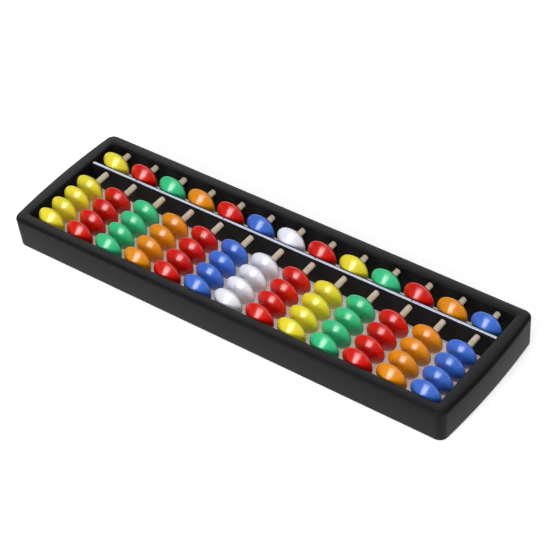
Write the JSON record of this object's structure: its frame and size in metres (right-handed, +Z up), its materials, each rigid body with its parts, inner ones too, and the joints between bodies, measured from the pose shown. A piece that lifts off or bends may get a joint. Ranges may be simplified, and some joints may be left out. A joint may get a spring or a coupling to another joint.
{
  "type": "abacus",
  "caption": "Soroban-style abacus: open black tray frame with a dividing beam, bamboo rods, and coloured double-cone beads that slide on them.",
  "frame": {"origin": "on the desk, under the middle of the frame", "axes": "+X along the frame, to the right of someone using it; +Y across it along the rods, from the lower beads to the upper beads; +Z up from the desk"},
  "size_m": [0.2572, 0.0772, 0.0224],
  "materials": {
    "frame_black": "satin moulded black ABS",
    "strip_white": "pale silver-white satin strip with four small dark unit marks",
    "foot_rubber": "matt black rubber pad",
    "rod_bamboo": "bare light bamboo, fine grain along the rod",
    "bead_yellow": "glossy moulded yellow",
    "bead_red": "glossy moulded red",
    "bead_green": "glossy moulded green",
    "bead_orange": "glossy moulded orange",
    "bead_blue": "glossy moulded blue",
    "bead_white": "glossy moulded white"
  },
  "bodies": {
    "tray": {"frame": "frame_black", "keeper_ring": "frame_black", "beam": "frame_black", "beam_strip": "strip_white", "foot_front_left": "foot_rubber", "foot_front_right": "foot_rubber", "foot_rear_left": "foot_rubber", "foot_rear_right": "foot_rubber", "rod_01": "rod_bamboo", "rod_02": "rod_bamboo", "rod_03": "rod_bamboo", "rod_04": "rod_bamboo", "rod_05": "rod_bamboo", "rod_06": "rod_bamboo", "rod_07": "rod_bamboo", "rod_08": "rod_bamboo", "rod_09": "rod_bamboo", "rod_10": "rod_bamboo", "rod_11": "rod_bamboo", "rod_12": "rod_bamboo", "rod_13": "rod_bamboo"},
    "lower_01": {"lower_beads_01": "bead_yellow"},
    "top_lower_01": {"top_lower_bead_01": "bead_yellow"},
    "upper_01": {"upper_bead_01": "bead_yellow"},
    "lower_02": {"lower_beads_02": "bead_red"},
    "top_lower_02": {"top_lower_bead_02": "bead_red"},
    "upper_02": {"upper_bead_02": "bead_red"},
    "lower_03": {"lower_beads_03": "bead_green"},
    "top_lower_03": {"top_lower_bead_03": "bead_green"},
    "upper_03": {"upper_bead_03": "bead_green"},
    "lower_04": {"lower_beads_04": "bead_orange"},
    "top_lower_04": {"top_lower_bead_04": "bead_orange"},
    "upper_04": {"upper_bead_04": "bead_orange"},
    "lower_05": {"lower_beads_05": "bead_red"},
    "top_lower_05": {"top_lower_bead_05": "bead_red"},
    "upper_05": {"upper_bead_05": "bead_red"},
    "lower_06": {"lower_beads_06": "bead_blue"},
    "top_lower_06": {"top_lower_bead_06": "bead_blue"},
    "upper_06": {"upper_bead_06": "bead_blue"},
    "lower_07": {"lower_beads_07": "bead_white"},
    "top_lower_07": {"top_lower_bead_07": "bead_white"},
    "upper_07": {"upper_bead_07": "bead_white"},
    "lower_08": {"lower_beads_08": "bead_red"},
    "top_lower_08": {"top_lower_bead_08": "bead_red"},
    "upper_08": {"upper_bead_08": "bead_red"},
    "lower_09": {"lower_beads_09": "bead_yellow"},
    "top_lower_09": {"top_lower_bead_09": "bead_yellow"},
    "upper_09": {"upper_bead_09": "bead_yellow"},
    "lower_10": {"lower_beads_10": "bead_green"},
    "top_lower_10": {"top_lower_bead_10": "bead_green"},
    "upper_10": {"upper_bead_10": "bead_green"},
    "lower_11": {"lower_beads_11": "bead_red"},
    "top_lower_11": {"top_lower_bead_11": "bead_red"},
    "upper_11": {"upper_bead_11": "bead_red"},
    "lower_12": {"lower_beads_12": "bead_orange"},
    "top_lower_12": {"top_lower_bead_12": "bead_orange"},
    "upper_12": {"upper_bead_12": "bead_orange"},
    "lower_13": {"lower_beads_13": "bead_blue"},
    "top_lower_13": {"top_lower_bead_13": "bead_blue"},
    "upper_13": {"upper_bead_13": "bead_blue"}
  },
  "joints": [
    {"name": "lower_slide_01", "type": "slide", "parent": "tray", "child": "lower_01", "axis": [0, 1, 0], "range_m": [0, 0.00825]},
    {"name": "top_lower_slide_01", "type": "slide", "parent": "lower_01", "child": "top_lower_01", "axis": [0, -1, 0], "range_m": [-0.00825, 0]},
    {"name": "upper_slide_01", "type": "slide", "parent": "tray", "child": "upper_01", "axis": [0, 1, 0], "range_m": [0, 0.0047]},
    {"name": "lower_slide_02", "type": "slide", "parent": "tray", "child": "lower_02", "axis": [0, 1, 0], "range_m": [0, 0.00825]},
    {"name": "top_lower_slide_02", "type": "slide", "parent": "lower_02", "child": "top_lower_02", "axis": [0, -1, 0], "range_m": [-0.00825, 0]},
    {"name": "upper_slide_02", "type": "slide", "parent": "tray", "child": "upper_02", "axis": [0, 1, 0], "range_m": [0, 0.0047]},
    {"name": "lower_slide_03", "type": "slide", "parent": "tray", "child": "lower_03", "axis": [0, 1, 0], "range_m": [0, 0.00825]},
    {"name": "top_lower_slide_03", "type": "slide", "parent": "lower_03", "child": "top_lower_03", "axis": [0, -1, 0], "range_m": [-0.00825, 0]},
    {"name": "upper_slide_03", "type": "slide", "parent": "tray", "child": "upper_03", "axis": [0, 1, 0], "range_m": [0, 0.0047]},
    {"name": "lower_slide_04", "type": "slide", "parent": "tray", "child": "lower_04", "axis": [0, 1, 0], "range_m": [0, 0.00825]},
    {"name": "top_lower_slide_04", "type": "slide", "parent": "lower_04", "child": "top_lower_04", "axis": [0, -1, 0], "range_m": [-0.00825, 0]},
    {"name": "upper_slide_04", "type": "slide", "parent": "tray", "child": "upper_04", "axis": [0, 1, 0], "range_m": [0, 0.0047]},
    {"name": "lower_slide_05", "type": "slide", "parent": "tray", "child": "lower_05", "axis": [0, 1, 0], "range_m": [0, 0.00825]},
    {"name": "top_lower_slide_05", "type": "slide", "parent": "lower_05", "child": "top_lower_05", "axis": [0, -1, 0], "range_m": [-0.00825, 0]},
    {"name": "upper_slide_05", "type": "slide", "parent": "tray", "child": "upper_05", "axis": [0, 1, 0], "range_m": [0, 0.0047]},
    {"name": "lower_slide_06", "type": "slide", "parent": "tray", "child": "lower_06", "axis": [0, 1, 0], "range_m": [0, 0.00825]},
    {"name": "top_lower_slide_06", "type": "slide", "parent": "lower_06", "child": "top_lower_06", "axis": [0, -1, 0], "range_m": [-0.00825, 0]},
    {"name": "upper_slide_06", "type": "slide", "parent": "tray", "child": "upper_06", "axis": [0, 1, 0], "range_m": [0, 0.0047]},
    {"name": "lower_slide_07", "type": "slide", "parent": "tray", "child": "lower_07", "axis": [0, 1, 0], "range_m": [0, 0.00825]},
    {"name": "top_lower_slide_07", "type": "slide", "parent": "lower_07", "child": "top_lower_07", "axis": [0, -1, 0], "range_m": [-0.00825, 0]},
    {"name": "upper_slide_07", "type": "slide", "parent": "tray", "child": "upper_07", "axis": [0, 1, 0], "range_m": [0, 0.0047]},
    {"name": "lower_slide_08", "type": "slide", "parent": "tray", "child": "lower_08", "axis": [0, 1, 0], "range_m": [0, 0.00825]},
    {"name": "top_lower_slide_08", "type": "slide", "parent": "lower_08", "child": "top_lower_08", "axis": [0, -1, 0], "range_m": [-0.00825, 0]},
    {"name": "upper_slide_08", "type": "slide", "parent": "tray", "child": "upper_08", "axis": [0, 1, 0], "range_m": [0, 0.0047]},
    {"name": "lower_slide_09", "type": "slide", "parent": "tray", "child": "lower_09", "axis": [0, 1, 0], "range_m": [0, 0.00825]},
    {"name": "top_lower_slide_09", "type": "slide", "parent": "lower_09", "child": "top_lower_09", "axis": [0, -1, 0], "range_m": [-0.00825, 0]},
    {"name": "upper_slide_09", "type": "slide", "parent": "tray", "child": "upper_09", "axis": [0, 1, 0], "range_m": [0, 0.0047]},
    {"name": "lower_slide_10", "type": "slide", "parent": "tray", "child": "lower_10", "axis": [0, 1, 0], "range_m": [0, 0.00825]},
    {"name": "top_lower_slide_10", "type": "slide", "parent": "lower_10", "child": "top_lower_10", "axis": [0, -1, 0], "range_m": [-0.00825, 0]},
    {"name": "upper_slide_10", "type": "slide", "parent": "tray", "child": "upper_10", "axis": [0, 1, 0], "range_m": [0, 0.0047]},
    {"name": "lower_slide_11", "type": "slide", "parent": "tray", "child": "lower_11", "axis": [0, 1, 0], "range_m": [0, 0.00825]},
    {"name": "top_lower_slide_11", "type": "slide", "parent": "lower_11", "child": "top_lower_11", "axis": [0, -1, 0], "range_m": [-0.00825, 0]},
    {"name": "upper_slide_11", "type": "slide", "parent": "tray", "child": "upper_11", "axis": [0, 1, 0], "range_m": [0, 0.0047]},
    {"name": "lower_slide_12", "type": "slide", "parent": "tray", "child": "lower_12", "axis": [0, 1, 0], "range_m": [0, 0.00825]},
    {"name": "top_lower_slide_12", "type": "slide", "parent": "lower_12", "child": "top_lower_12", "axis": [0, -1, 0], "range_m": [-0.00825, 0]},
    {"name": "upper_slide_12", "type": "slide", "parent": "tray", "child": "upper_12", "axis": [0, 1, 0], "range_m": [0, 0.0047]},
    {"name": "lower_slide_13", "type": "slide", "parent": "tray", "child": "lower_13", "axis": [0, 1, 0], "range_m": [0, 0.00825]},
    {"name": "top_lower_slide_13", "type": "slide", "parent": "lower_13", "child": "top_lower_13", "axis": [0, -1, 0], "range_m": [-0.00825, 0]},
    {"name": "upper_slide_13", "type": "slide", "parent": "tray", "child": "upper_13", "axis": [0, 1, 0], "range_m": [0, 0.0047]}
  ]
}
